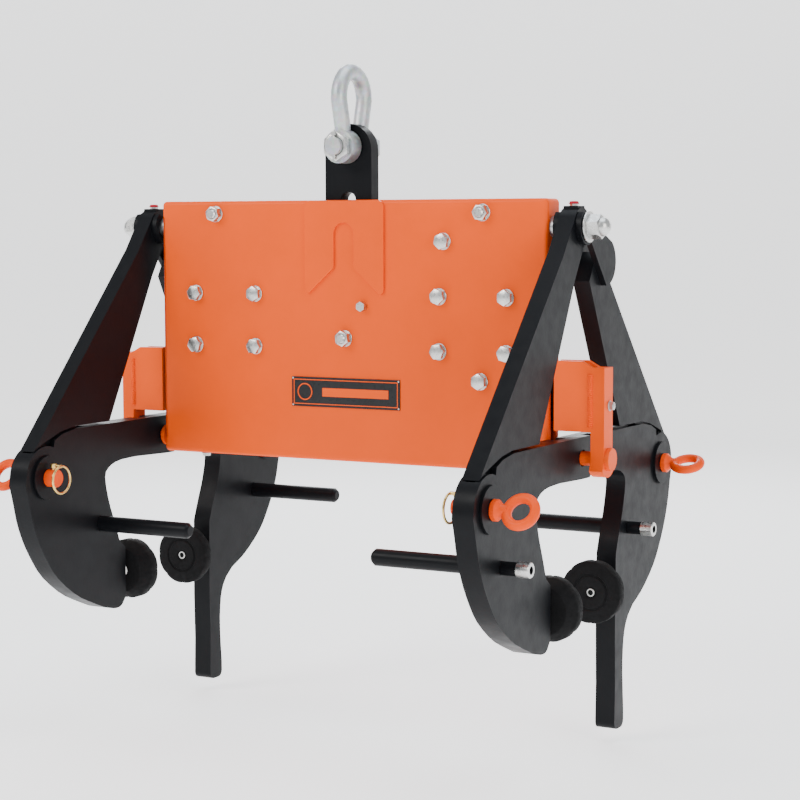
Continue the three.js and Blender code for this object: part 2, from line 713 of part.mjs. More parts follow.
add('shackle_bow', shackleBow(), GALVANISED);
add('shackle_pin', shacklePin(), GALVANISED);
add('shackle_nut', shackleNut(), ZINC);
add('shackle_cotter', cotterPin(), ZINC);
add('lifting_bar', liftingBar(), BLACK);
add('crossbeam', crossbeam(), BLACK);
add('latch_pin', latchPin(), BARE);
add('housing_front', housingShell(-1), ORANGE);
add('housing_rear', housingShell(1), ORANGE);
add('keyhole_plate', keyholePlate(), ORANGE);
add('sign_plate', signPlate(), SIGN);
add('travel_stud', travelStud(), ZINC);
add('latch_pawl', latchPawl(), ORANGE);
add('pawl_pivot', pawlPivot(), ZINC);

for (const [end, word] of [[-1, 'left'], [1, 'right']]) {
  add(`bar_guide_${word}`, barGuide(end), BARE);
  add(`tie_bolt_upper_${word}`, tieBolt(end * TIE_BOLT_X, TIE_BOLT_Z[0]), ZINC);
  add(`tie_bolt_lower_${word}`, tieBolt(end * TIE_BOLT_X, TIE_BOLT_Z[1]), ZINC);
  add(`bracket_${word}`, bracket(end), ORANGE);
  add(`horn_pin_${word}`, hornPin(end), ORANGE);
  add(`top_shaft_${word}`, topShaft(end), BARE);
  add(`shaft_washer_${word}`, shaftWasher(end), BLACK);
  add(`dome_nut_${word}`, domeNut(end), ZINC);
  add(`grease_nipple_${word}`, greaseNipple(end), RED_CAP);
  add(`arm_front_${word}`, frontArm(end), BLACK);
  add(`arm_rear_${word}`, rearArm(end), BLACK);
  for (const [side, place] of [[-1, 'front'], [1, 'rear']]) {
    const bar = end * side > 0 ? STOP_BAR_NEAR : STOP_BAR_FAR;
    const ringDeg = place === 'front' ? 55 : 20;
    add(`jaw_${place}_${word}`, jaw(end, side, bar), BLACK);
    add(`pull_pin_${place}_${word}`, pullPin(end, side, ringDeg), ORANGE);
    add(`linch_pin_${place}_${word}`, linchPin(end, side), YELLOW_ZINC);
    add(`stop_bar_${place}_${word}`, stopBar(end, side, bar), BLACK);
    add(`pad_stud_${place}_${word}`, padStud(end, side), ZINC);
    add(`pad_${place}_${word}`, pad(end, side), RUBBER);
  }
}

export default clamp;
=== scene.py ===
import json
import math

import bmesh
import bpy
from bpy.props import FloatProperty, FloatVectorProperty, IntProperty, PointerProperty
from mathutils import Matrix, Vector

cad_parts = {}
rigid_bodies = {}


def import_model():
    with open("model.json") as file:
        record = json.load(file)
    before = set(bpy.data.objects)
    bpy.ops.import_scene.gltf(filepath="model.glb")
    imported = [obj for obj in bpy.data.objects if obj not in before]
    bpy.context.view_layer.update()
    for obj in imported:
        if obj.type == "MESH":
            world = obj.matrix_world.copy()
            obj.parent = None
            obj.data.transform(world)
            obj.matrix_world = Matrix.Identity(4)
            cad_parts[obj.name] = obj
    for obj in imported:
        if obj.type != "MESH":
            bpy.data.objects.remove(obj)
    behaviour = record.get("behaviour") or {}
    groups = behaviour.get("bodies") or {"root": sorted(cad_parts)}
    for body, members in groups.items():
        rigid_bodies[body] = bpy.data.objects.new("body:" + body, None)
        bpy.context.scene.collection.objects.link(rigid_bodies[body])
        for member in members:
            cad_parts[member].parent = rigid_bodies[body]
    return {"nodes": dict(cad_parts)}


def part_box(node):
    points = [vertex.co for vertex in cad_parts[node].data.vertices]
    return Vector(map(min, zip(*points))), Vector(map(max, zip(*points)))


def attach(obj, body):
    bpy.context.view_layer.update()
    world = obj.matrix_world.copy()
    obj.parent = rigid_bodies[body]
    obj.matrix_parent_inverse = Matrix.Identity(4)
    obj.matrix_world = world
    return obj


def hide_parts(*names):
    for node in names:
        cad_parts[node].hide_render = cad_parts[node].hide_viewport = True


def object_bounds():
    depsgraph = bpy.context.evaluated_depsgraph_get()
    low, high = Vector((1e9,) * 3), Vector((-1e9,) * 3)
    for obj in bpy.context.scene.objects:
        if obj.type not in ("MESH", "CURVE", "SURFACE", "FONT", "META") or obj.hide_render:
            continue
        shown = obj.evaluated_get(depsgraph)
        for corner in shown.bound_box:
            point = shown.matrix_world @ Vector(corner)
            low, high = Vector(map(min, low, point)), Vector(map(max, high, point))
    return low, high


bl_info = {
    "name": "Four-arm slab clamp",
    "version": (1, 0, 0),
    "blender": (4, 5, 0),
    "location": "3D View > Sidebar > Clamp",
    "description": "Finishes and small parts of a four-arm slab lifting clamp",
    "category": "Object",
}

for spare in list(bpy.data.objects):
    bpy.data.objects.remove(spare)
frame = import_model()
CAD_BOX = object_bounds()

# Lengths below are drawn for the large size of the clamp; the smaller size is what is built.
BUILT_SIZE = 0.8
MM = 0.001 * BUILT_SIZE
ENDS = ((-1, "left"), (1, "right"))
SIDES = ((-1, "front"), (1, "rear"))
CORNERS = [(end, word, side, place) for end, word in ENDS for side, place in SIDES]


def middle(node):
    low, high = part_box(node)
    return (low + high) / 2


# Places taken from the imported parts, in millimetres. Heights are above the top shafts.
SHAFT_Z = middle("dome_nut_right").z / MM
SHELL_LOW, SHELL_HIGH = (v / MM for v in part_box("housing_front"))
HALF_LENGTH = SHELL_HIGH.x
HALF_DEPTH = -SHELL_LOW.y
TOP = SHELL_HIGH.z - SHAFT_Z
BOTTOM = SHELL_LOW.z - SHAFT_Z
ARM_X = middle("arm_front_right").x / MM
STUD_Z = middle("travel_stud").z / MM - SHAFT_Z


# ---- sizes and colours that a user may change ---------------------------------------
class ClampSizes(bpy.types.PropertyGroup):
    hex_width: FloatProperty(name="Hexagon width", description="Across the flats of a face bolt",
                             default=0.0192, unit="LENGTH", subtype="DISTANCE")
    washer_radius: FloatProperty(name="Washer radius", description="Outer radius of a face washer",
                                 default=0.0116, unit="LENGTH", subtype="DISTANCE")
    bend_radius: FloatProperty(name="Bend radius", description="Outer radius of the pressed housing",
                               default=0.0056, unit="LENGTH", subtype="DISTANCE")
    edge_round: FloatProperty(name="Edge rounding", description="Broken edge on cut plates",
                              default=0.0010, unit="LENGTH", subtype="DISTANCE")
    weld_width: FloatProperty(name="Weld width", description="Radius of a weld bead",
                              default=0.0030, unit="LENGTH", subtype="DISTANCE")
    pad_lobes: IntProperty(name="Pad lobes", description="Lobes round the edge of a rubber pad",
                           default=8, min=6, max=24)


class ClampColours(bpy.types.PropertyGroup):
    orange: FloatVectorProperty(name="Orange paint", description="Housing and brackets",
                                default=(0.88, 0.088, 0.0), size=3, subtype="COLOR", min=0, max=1)
    eye: FloatVectorProperty(name="Eye paint", description="Pull pin eyes",
                             default=(0.86, 0.070, 0.0), size=3, subtype="COLOR", min=0, max=1)
    black: FloatVectorProperty(name="Black paint", description="Arms, jaws and lifting bar",
                               default=(0.0045, 0.0050, 0.0062), size=3, subtype="COLOR", min=0, max=1)
    zinc: FloatVectorProperty(name="Zinc plate", description="Bolts and nuts",
                              default=(0.62, 0.62, 0.60), size=3, subtype="COLOR", min=0, max=1)
    galvanised: FloatVectorProperty(name="Galvanised steel", description="Shackle",
                                    default=(0.52, 0.54, 0.55), size=3, subtype="COLOR", min=0, max=1)
    yellow: FloatVectorProperty(name="Yellow zinc", description="Linch pins",
                                default=(0.72, 0.50, 0.17), size=3, subtype="COLOR", min=0, max=1)
    steel: FloatVectorProperty(name="Machined steel", description="Shafts and guides",
                               default=(0.42, 0.42, 0.42), size=3, subtype="COLOR", min=0, max=1)
    rubber: FloatVectorProperty(name="Rubber", description="Pads",
                                default=(0.006, 0.006, 0.0065), size=3, subtype="COLOR", min=0, max=1)
    cap: FloatVectorProperty(name="Grease cap", description="Plastic caps on the grease nipples",
                             default=(0.45, 0.012, 0.030), size=3, subtype="COLOR", min=0, max=1)
    sign: FloatVectorProperty(name="Sign plate", description="Blank plate on the housing",
                              default=(0.010, 0.010, 0.011), size=3, subtype="COLOR", min=0, max=1)
    floor: FloatVectorProperty(name="Floor", description="Floor and backdrop",
                               default=(0.90, 0.90, 0.895), size=3, subtype="COLOR", min=0, max=1)


def sizes():
    return bpy.context.scene.clamp_sizes


def colours():
    return bpy.context.scene.clamp_colours


# ---- finishes -----------------------------------------------------------------------
def shifted(colour, share):
    return tuple(min(1.0, c * share) for c in colour) + (1.0,)


def finish(name, colour, metallic, rough, grain, relief, coat=0.0, patches=9.0, spread=0.14,
           spangle=0.0, dust=0.0):
    """Node material: patchy colour, patchy roughness and a fine bump, all fixed to the part."""
    found = bpy.data.materials.get(name)
    if found:
        return found
    made = bpy.data.materials.new(name)
    made.use_nodes = True
    nodes, links = made.node_tree.nodes, made.node_tree.links
    shader = nodes["Principled BSDF"]
    shader.inputs["Metallic"].default_value = metallic
    shader.inputs["Coat Weight"].default_value = coat
    shader.inputs["Coat Roughness"].default_value = 0.22
    if not metallic:
        shader.inputs["Specular IOR Level"].default_value = 0.10
    place = nodes.new("ShaderNodeTexCoord")
    broad = nodes.new("ShaderNodeTexNoise")
    broad.inputs["Scale"].default_value = patches
    broad.inputs["Detail"].default_value = 6.0
    broad.inputs["Roughness"].default_value = 0.62
    links.new(place.outputs["Object"], broad.inputs["Vector"])
    ramp = nodes.new("ShaderNodeValToRGB")
    ramp.color_ramp.elements[0].position = 0.34
    ramp.color_ramp.elements[0].color = shifted(colour, 1.0 - spread)
    ramp.color_ramp.elements[1].position = 0.68
    ramp.color_ramp.elements[1].color = shifted(colour, 1.0 + spread)
    links.new(broad.outputs["Fac"], ramp.inputs["Fac"])
    tint = ramp.outputs["Color"]
    if spangle:
        cells = nodes.new("ShaderNodeTexVoronoi")
        cells.inputs["Scale"].default_value = spangle
        links.new(place.outputs["Object"], cells.inputs["Vector"])
        flake = nodes.new("ShaderNodeMix")
        flake.data_type = "RGBA"
        flake.blend_type = "OVERLAY"
        flake.inputs["Factor"].default_value = 0.10
        links.new(tint, flake.inputs["A"])
        links.new(cells.outputs["Color"], flake.inputs["B"])
        tint = flake.outputs["Result"]
    if dust:
        up = nodes.new("ShaderNodeSeparateXYZ")
        links.new(place.outputs["Normal"], up.inputs["Vector"])
        speck = nodes.new("ShaderNodeTexNoise")
        speck.inputs["Scale"].default_value = 46.0
        speck.inputs["Detail"].default_value = 8.0
        links.new(place.outputs["Object"], speck.inputs["Vector"])
        amount = nodes.new("ShaderNodeMath")
        amount.operation = "MULTIPLY"
        links.new(up.outputs["Z"], amount.inputs[0])
        links.new(speck.outputs["Fac"], amount.inputs[1])
        limit = nodes.new("ShaderNodeMapRange")
        limit.inputs["From Min"].default_value = 0.25
        limit.inputs["From Max"].default_value = 0.75
        limit.inputs["To Max"].default_value = dust
        links.new(amount.outputs["Value"], limit.inputs["Value"])
        layer = nodes.new("ShaderNodeMix")
        layer.data_type = "RGBA"
        layer.inputs["B"].default_value = (0.30, 0.27, 0.23, 1.0)
        links.new(limit.outputs["Result"], layer.inputs["Factor"])
        links.new(tint, layer.inputs["A"])
        tint = layer.outputs["Result"]
    links.new(tint, shader.inputs["Base Color"])
    wear = nodes.new("ShaderNodeTexNoise")
    wear.inputs["Scale"].default_value = patches * 5.0
    wear.inputs["Detail"].default_value = 7.0
    links.new(place.outputs["Object"], wear.inputs["Vector"])
    gloss = nodes.new("ShaderNodeMapRange")
    gloss.inputs["From Min"].default_value = 0.3
    gloss.inputs["From Max"].default_value = 0.7
    gloss.inputs["To Min"].default_value = rough[0]
    gloss.inputs["To Max"].default_value = rough[1]
    links.new(wear.outputs["Fac"], gloss.inputs["Value"])
    links.new(gloss.outputs["Result"], shader.inputs["Roughness"])
    fine = nodes.new("ShaderNodeTexNoise")
    fine.inputs["Scale"].default_value = grain
    fine.inputs["Detail"].default_value = 3.0
    links.new(place.outputs["Object"], fine.inputs["Vector"])
    bump = nodes.new("ShaderNodeBump")
    bump.inputs["Strength"].default_value = relief
    bump.inputs["Distance"].default_value = 0.0006
    links.new(fine.outputs["Fac"], bump.inputs["Height"])
    links.new(bump.outputs["Normal"], shader.inputs["Normal"])
    return made


def orange_paint():
    return finish("orange_paint_sheet", colours().orange, 0.0, (0.30, 0.44), 260.0, 0.22,
                  coat=0.03, patches=5.0, spread=0.05, dust=0.0)


def eye_paint():
    return finish("red_orange_paint", colours().eye, 0.0, (0.28, 0.42), 300.0, 0.25,
                  coat=0.03, patches=30.0, spread=0.08)


def black_paint():
    return finish("black_satin_paint", colours().black, 0.0, (0.34, 0.46), 210.0, 0.16,
                  coat=0.02, patches=11.0, spread=0.10, dust=0.01)


def zinc():
    return finish("zinc_plated_steel", colours().zinc, 1.0, (0.22, 0.40), 700.0, 0.18,
                  patches=60.0, spread=0.12)


def galvanised():
    return finish("galvanised_steel_dull", colours().galvanised, 0.9, (0.38, 0.58), 420.0, 0.35,
                  patches=26.0, spread=0.12, spangle=190.0)


def yellow_zinc():
    return finish("yellow_zinc_wire", colours().yellow, 1.0, (0.22, 0.40), 800.0, 0.15,
                  patches=90.0, spread=0.25)


def machined():
    return finish("machined_steel_oiled", colours().steel, 1.0, (0.26, 0.46), 520.0, 0.25,
                  patches=20.0, spread=0.16)


def rubber():
    return finish("moulded_rubber", colours().rubber, 0.0, (0.62, 0.86), 900.0, 0.55,
                  patches=40.0, spread=0.20, dust=0.04)


def cap_plastic():
    return finish("red_cap_plastic", colours().cap, 0.0, (0.34, 0.50), 500.0, 0.12,
                  patches=70.0, spread=0.12)


def sign_enamel():
    return finish("sign_plate_enamel", colours().sign, 0.0, (0.22, 0.36), 600.0, 0.06,
                  coat=0.4, patches=18.0, spread=0.25)


# ---- mesh helpers -------------------------------------------------------------------
def facing(direction, at):
    """Matrix that turns local +Z to a direction and moves to a point, both in the row frame."""
    turn = Vector(direction).to_track_quat("Z", "Y").to_matrix().to_4x4()
    return Matrix.Translation(Vector(at) * MM) @ turn @ Matrix.Scale(MM, 4)


def at_height(x, y, z):
    """A point given above the top shafts, as a row-frame point in millimetres."""
    return Vector((x, y, z + SHAFT_Z))


def ring_of(bm, points, place):
    return [bm.verts.new(place @ Vector(p)) for p in points]


def join_rings(bm, first, second):
    count = len(first)
    for i in range(count):
        j = (i + 1) % count
        bm.faces.new((first[i], first[j], second[j], second[i]))


def close_ring(bm, ring):
    bm.faces.new(ring)


def circle(radius, height, count=32, turn=0.0):
    return [(radius * math.cos(turn + math.tau * i / count),
             radius * math.sin(turn + math.tau * i / count), height) for i in range(count)]


def turned(bm, place, profile, count=32):
    """Body of revolution from (radius, height) pairs, closed by flat ends or by itself."""
    rings = [ring_of(bm, circle(r, h, count), place) for r, h in profile]
    for a, b in zip(rings, rings[1:]):
        join_rings(bm, a, b)
    close_ring(bm, rings[0])
    close_ring(bm, rings[-1])


def washer(bm, place, inner, outer, thick, count=36):
    chamfer = min(0.5, thick * 0.25)
    profile = [(inner, 0), (outer - chamfer, 0), (outer, chamfer), (outer, thick - chamfer),
               (outer - chamfer, thick), (inner, thick)]
    rings = [ring_of(bm, circle(r, h, count), place) for r, h in profile]
    for a, b in zip(rings, rings[1:] + rings[:1]):
        join_rings(bm, a, b)


def hex_radius(angle, flats):
    sector = math.radians(60)
    inside = (angle + sector / 2) % sector - sector / 2
    return flats / 2 / math.cos(inside)


def hexagon(bm, place, flats, thick, bore=0.0, both_ends=False, count=48, spin=0.0):
    """Hexagon head or nut with the turned chamfer that rounds its corners."""
    rim = flats / 2 * 0.96
    angles = [math.tau * i / count for i in range(count)]

    def edge(sign, base):
        return [((hex_radius(a, flats)) * math.cos(a + spin), hex_radius(a, flats) * math.sin(a + spin),
                 base - sign * max(0.0, hex_radius(a, flats) - rim) * math.tan(math.radians(30)))
                for a in angles]

    low = edge(-1, 0.0) if both_ends else [(p[0], p[1], 0.0) for p in edge(1, 0.0)]
    rings = []
    if bore:
        rings.append(circle(bore, 0.0, count, spin))
    if both_ends:
        rings.append(circle(rim, 0.0, count, spin))
    rings += [low, edge(1, thick), circle(rim, thick, count, spin)]
    if bore:
        rings.append(circle(bore + 0.8, thick, count, spin))
        rings.append(circle(bore, thick - 0.8, count, spin))
    built = [ring_of(bm, points, place) for points in rings]
    for a, b in zip(built, built[1:]):
        join_rings(bm, a, b)
    if bore:
        join_rings(bm, built[-1], built[0])
    else:
        close_ring(bm, built[0])
        close_ring(bm, built[-1])


def stud_end(bm, place, radius, length):
    """Threaded end of a bolt, with turned grooves and a chamfered tip."""
    profile = [(radius, 0.0)]
    pitch = 2.0
    height = 0.6
    while height < length - 1.6:
        profile += [(radius, height), (radius - 0.9, height + pitch / 2)]
        height += pitch
    profile += [(radius, length - 1.4), (radius - 1.3, length)]
    turned(bm, place, profile, 28)


def hoop(bm, place, radius, tube, around=40, across=14):
    rings = []
    for i in range(around):
        a = math.tau * i / around
        rings.append(ring_of(bm, [((radius + tube * math.cos(b)) * math.cos(a),
                                   (radius + tube * math.cos(b)) * math.sin(a), tube * math.sin(b))
                                  for b in (math.tau * k / across for k in range(across))], place))
    for a, b in zip(rings, rings[1:] + rings[:1]):
        join_rings(bm, a, b)


def swept(bm, points, radius, across=12, ripple=0.0, step=3.0):
    """Round rod along points in row-frame millimetres; a ripple makes it a weld bead."""
    path = [Vector(p) for p in points]
    dense = []
    for a, b in zip(path, path[1:]):
        parts = max(1, int((b - a).length / (step / 4 if ripple else step)))
        dense += [a.lerp(b, i / parts) for i in range(parts)]
    dense.append(path[-1])
    normal = None
    rings = []
    travelled = 0.0
    for i, point in enumerate(dense):
        ahead = (dense[min(i + 1, len(dense) - 1)] - dense[max(i - 1, 0)]).normalized()
        if i:
            travelled += (point - dense[i - 1]).length
        if normal is None:
            normal = ahead.orthogonal().normalized()
        normal = (normal - ahead * normal.dot(ahead)).normalized()
        other = ahead.cross(normal)
        swell = 1.0 + ripple * math.sin(math.tau * travelled / step)
        if ripple and i in (0, len(dense) - 1):
            swell *= 0.45
        rings.append([bm.verts.new((point + (normal * math.cos(a) + other * math.sin(a))
                                    * radius * swell) * MM)
                      for a in (math.tau * k / across for k in range(across))])
    for a, b in zip(rings, rings[1:]):
        join_rings(bm, a, b)
    close_ring(bm, rings[0])
    close_ring(bm, rings[-1])


def piece(name, bm, material, body, smooth=38.0, stands_for=()):
    """Turns a mesh into a named piece that moves with a body of the clamp."""
    bmesh.ops.recalc_face_normals(bm, faces=bm.faces)
    mesh = bpy.data.meshes.new(name)
    bm.to_mesh(mesh)
    bm.free()
    mesh.materials.append(material)
    mesh.shade_smooth()
    mesh.set_sharp_from_angle(angle=math.radians(smooth))
    made = bpy.data.objects.new(name, mesh)
    bpy.context.scene.collection.objects.link(made)
    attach(made, body)
    if stands_for:
        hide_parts(*stands_for)
    return made


def soft_edges():
    """Node group that shades a part's round faces smooth and keeps its steep edges sharp."""
    found = bpy.data.node_groups.get("soft_edges")
    if found:
        return found
    group = bpy.data.node_groups.new("soft_edges", "GeometryNodeTree")
    group.interface.new_socket("Geometry", in_out="INPUT", socket_type="NodeSocketGeometry")
    group.interface.new_socket("Geometry", in_out="OUTPUT", socket_type="NodeSocketGeometry")
    nodes, links = group.nodes, group.links
    start, end = nodes.new("NodeGroupInput"), nodes.new("NodeGroupOutput")
    smooth = nodes.new("GeometryNodeSetShadeSmooth")
    smooth.domain = "FACE"
    crease = nodes.new("GeometryNodeSetShadeSmooth")
    crease.domain = "EDGE"
    crease.inputs["Shade Smooth"].default_value = False
    angle = nodes.new("GeometryNodeInputMeshEdgeAngle")
    steep = nodes.new("FunctionNodeCompare")
    steep.data_type = "FLOAT"
    steep.operation = "GREATER_THAN"
    steep.inputs["B"].default_value = math.radians(42)
    links.new(angle.outputs["Unsigned Angle"], steep.inputs["A"])
    links.new(start.outputs[0], smooth.inputs["Geometry"])
    links.new(smooth.outputs["Geometry"], crease.inputs["Geometry"])
    links.new(steep.outputs["Result"], crease.inputs["Selection"])
    links.new(crease.outputs["Geometry"], end.inputs[0])
    return group


def dress(node, material, edge=None, segments=2):
    """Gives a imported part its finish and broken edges; its own mesh stays as it is."""
    part = frame["nodes"][node]
    part.material_slots[0].material = material
    weld = part.modifiers.new("merge", "WELD")
    weld.merge_threshold = 0.00002
    flat = part.modifiers.new("flats", "DECIMATE")
    flat.decimate_type = "DISSOLVE"
    flat.angle_limit = math.radians(0.6)
    if edge:
        bevel = part.modifiers.new("broken_edge", "BEVEL")
        bevel.width = edge
        bevel.segments = segments
        bevel.limit_method = "ANGLE"
        bevel.angle_limit = math.radians(50)
        bevel.use_clamp_overlap = True
    shade = part.modifiers.new("shade", "NODES")
    shade.node_group = soft_edges()
    weighted = part.modifiers.new("flat_faces", "WEIGHTED_NORMAL")
    weighted.keep_sharp = True
    return part


# ---- housing ------------------------------------------------------------------------
def rim_stops():
    """Outline of the housing as (x, z, outward normal, how far the rim stays from the seam)."""
    corner = 8.0
    seam = 0.15
    bar_way, bar_depth = 50.0, 16.0
    beam_way = (-229.0, -381.0)
    beam_depth = 10.0
    shaft = 18.3
    stops = []

    def corner_points(cx, cz, start):
        for i in range(7):
            a = math.radians(start + 90 * i / 6)
            stops.append((cx + corner * math.cos(a), cz + corner * math.sin(a),
                          (math.cos(a), math.sin(a)), seam))

    def side_points(sign):
        run = []
        for i in range(13):
            z = -shaft * math.cos(math.pi * i / 12)
            run.append((z, max(seam, math.sqrt(max(0.0, shaft * shaft - z * z)))))
        high, low = beam_way
        run += [(high, seam), (high - 0.3, beam_depth), (low + 0.3, beam_depth), (low, seam)]
        for z in (-60.0, -120.0, -180.0):
            run.append((z, seam))
        run.sort(key=lambda r: r[0] * -sign)
        if sign > 0:
            run.sort(key=lambda r: r[0])
        for z, depth in run:
            stops.append((sign * HALF_LENGTH, z, (float(sign), 0.0), depth))

    # anticlockwise seen from the front: up the right side, along the top, down, back
    right = HALF_LENGTH - corner
    side_points(1)
    corner_points(right, TOP - corner, 0)
    for x, depth in ((200.0, seam), (bar_way + 0.3, seam), (bar_way, bar_depth), (0.0, bar_depth),
                     (-bar_way, bar_depth), (-bar_way - 0.3, seam), (-200.0, seam)):
        stops.append((x, TOP, (0.0, 1.0), depth))
    corner_points(-right, TOP - corner, 90)
    side_points(-1)
    corner_points(-right, BOTTOM + corner, 180)
    for x in (-200.0, 0.0, 200.0):
        stops.append((x, BOTTOM, (0.0, -1.0), seam))
    corner_points(right, BOTTOM + corner, 270)
    return stops


def pressed_shell(side, word):
    """One half of the housing: a pressed pan with round bends and a turned-in rim."""
    bm = bmesh.new()
    bend = sizes().bend_radius / MM
    sheet = 5.0
    stops = rim_stops()
    inner_bend = 2.0

    def loop(inset, depth):
        made = []
        for x, z, (nx, nz), rim in stops:
            d = rim if depth is None else depth
            made.append(bm.verts.new(at_height(x - nx * inset, side * d, z - nz * inset) * MM))
        return made

    levels = [(0.0, None)]
    for i in range(7):
        a = math.radians(90 * i / 6)
        levels.append((bend - bend * math.cos(a), HALF_DEPTH - bend + bend * math.sin(a)))
    outer = [loop(*level) for level in levels]
    inner_levels = [(sheet + inner_bend, HALF_DEPTH - sheet)]
    for i in range(1, 4):
        a = math.radians(90 - 90 * i / 3)
        inner_levels.append((sheet + inner_bend - inner_bend * math.cos(a),
                             HALF_DEPTH - sheet - inner_bend + inner_bend * math.sin(a)))
    inner_levels.append((sheet, None))
    inner = [loop(*level) for level in inner_levels]
    for chain in (outer, inner):
        for a, b in zip(chain, chain[1:]):
            join_rings(bm, a, b)
    join_rings(bm, inner[-1], outer[0])
    for rim in (outer[-1], inner[0]):
        close_ring(bm, rim)
    piece(f"housing_pan_{word}", bm, orange_paint(), "housing", 32, (f"housing_{word}",))


class CLAMP_OT_housing(bpy.types.Operator):
    """Build the two pressed halves of the housing"""
    bl_idname = "clamp.housing"
    bl_label = "Housing"

    def execute(self, context):
        pressed_shell(-1, "front")
        pressed_shell(1, "rear")
        dress("keyhole_plate", orange_paint(), 0.0010)
        for _, word in ENDS:
            dress(f"bar_guide_{word}", machined(), 0.0006)
        dress("latch_pawl", orange_paint(), 0.0005)
        dress("pawl_pivot", zinc(), 0.0004)
        return {"FINISHED"}


# ---- face fasteners -----------------------------------------------------------------
HEAD_PLACES = (
    ("inner_upper_left", -184, -117), ("inner_upper_right", 184, -117),
    ("inner_lower_left", -184, -210), ("inner_lower_right", 184, -210),
    ("guide_right", 192, -24), ("foot_right", 262, -258),
)
NUT_PLACES = (("top_left", -266, 24), ("top_right", 266, 24))
TIE_PLACES = tuple((f"tie_bolt_{level}_{word}", end * 310, z)
                   for end, word in ENDS for level, z in (("upper", -117), ("lower", -210)))


# A face bolt: its hole, the parts that stand on the sheet, and its threaded end
BOLT_HOLE_R = 8.4
FACE_WASHER = 2.2
HEAD_HEIGHT = 9.6
NUT_HEIGHT = 12.4
NUT_BORE = 8.05
THREAD_R = 7.9
THREAD_LENGTH = 18.4


def through_bolt(name, x, z, head_side, body, stands_for=(), spin=0.0):
    """Bolt through the housing: head and washer on one face, nut and thread on the other."""
    bm = bmesh.new()
    flats = sizes().hex_width / MM
    disc = sizes().washer_radius / MM
    face = HALF_DEPTH + 0.1
    for sign in (-1, 1):
        out = (0, sign, 0)
        washer(bm, facing(out, at_height(x, sign * face, z)), BOLT_HOLE_R, disc, FACE_WASHER)
        seat = facing(out, at_height(x, sign * (face + FACE_WASHER + 0.05), z))
        if sign == head_side:
            hexagon(bm, seat, flats, HEAD_HEIGHT, spin=spin)
        else:
            hexagon(bm, seat, flats, NUT_HEIGHT, bore=NUT_BORE, both_ends=True, spin=spin * 0.6)
            stud_end(bm, facing(out, at_height(x, sign * (face + 0.4), z)), THREAD_R, THREAD_LENGTH)
    piece(name, bm, zinc(), body, 34, stands_for)


class CLAMP_OT_fasteners(bpy.types.Operator):
    """Build the bolts, washers and nuts on both faces of the housing"""
    bl_idname = "clamp.fasteners"
    bl_label = "Face fasteners"

    def execute(self, context):
        for i, (name, x, z) in enumerate(HEAD_PLACES):
            through_bolt(f"face_bolt_{name}", x, z, -1, "housing", spin=0.21 * i)
        for i, (name, x, z) in enumerate(NUT_PLACES):
            through_bolt(f"face_stud_{name}", x, z, 1, "housing", spin=0.35 + 0.4 * i)
        for i, (name, x, z) in enumerate(TIE_PLACES):
            through_bolt(f"detailed_{name}", x, z, -1, "housing", (name,), spin=0.4 + 0.33 * i)
        through_bolt("detailed_travel_stud", 0, STUD_Z, 1, "housing", ("travel_stud",), spin=0.2)
        bm = bmesh.new()
        low = at_height(-300, -14, BOTTOM)
        hexagon(bm, facing((0, 0, -1), low), 13, 6)
        washer(bm, facing((0, 0, -1), low), 4.3, 8.6, 1.4)
        piece("drain_screw", bm, zinc(), "housing", 34)
        return {"FINISHED"}


# ---- sign plate ---------------------------------------------------------------------
class CLAMP_OT_sign(bpy.types.Operator):
    """Build the blank sign plate with its raised border and rivets"""
    bl_idname = "clamp.sign"
    bl_label = "Sign plate"

    def execute(self, context):
        dress("sign_plate", sign_enamel(), 0.0004)
        low, high = (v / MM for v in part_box("sign_plate"))
        front = low.y - 0.05
        bm = bmesh.new()
        inset, line = 4.0, 1.5
        for x0, x1, z0, z1 in (
                (low.x + inset, high.x - inset, high.z - inset - line, high.z - inset),
                (low.x + inset, high.x - inset, low.z + inset, low.z + inset + line),
                (low.x + inset, low.x + inset + line, low.z + inset + line, high.z - inset - line),
                (high.x - inset - line, high.x - inset, low.z + inset + line, high.z - inset - line)):
            made = bmesh.ops.create_cube(bm, size=1.0)["verts"]
            for v in made:
                v.co = Vector(((x0 + x1) / 2 + v.co.x * (x1 - x0), front + v.co.y * 0.5,
                               (z0 + z1) / 2 + v.co.z * (z1 - z0))) * MM
        centre = ((low + high) / 2)
        hoop(bm, facing((0, -1, 0), (low.x + 27, front, centre.z)), 14.0, 1.1, 48, 10)
        bar = bmesh.ops.create_cube(bm, size=1.0)["verts"]
        for v in bar:
            v.co = Vector((centre.x + 20 + v.co.x * 132, front + v.co.y * 0.5,
                           centre.z + v.co.z * 15)) * MM
        piece("sign_border", bm, orange_paint(), "housing", 40)
        bm = bmesh.new()
        for x in (low.x + 2.6, high.x - 2.6):
            for z in (low.z + 2.6, high.z - 2.6):
                turned(bm, facing((0, -1, 0), (x, low.y, z)),
                       [(1.7, 0), (1.6, 0.5), (1.1, 0.9), (0.4, 1.05)], 16)
        piece("sign_rivets", bm, zinc(), "housing", 50)
        return {"FINISHED"}


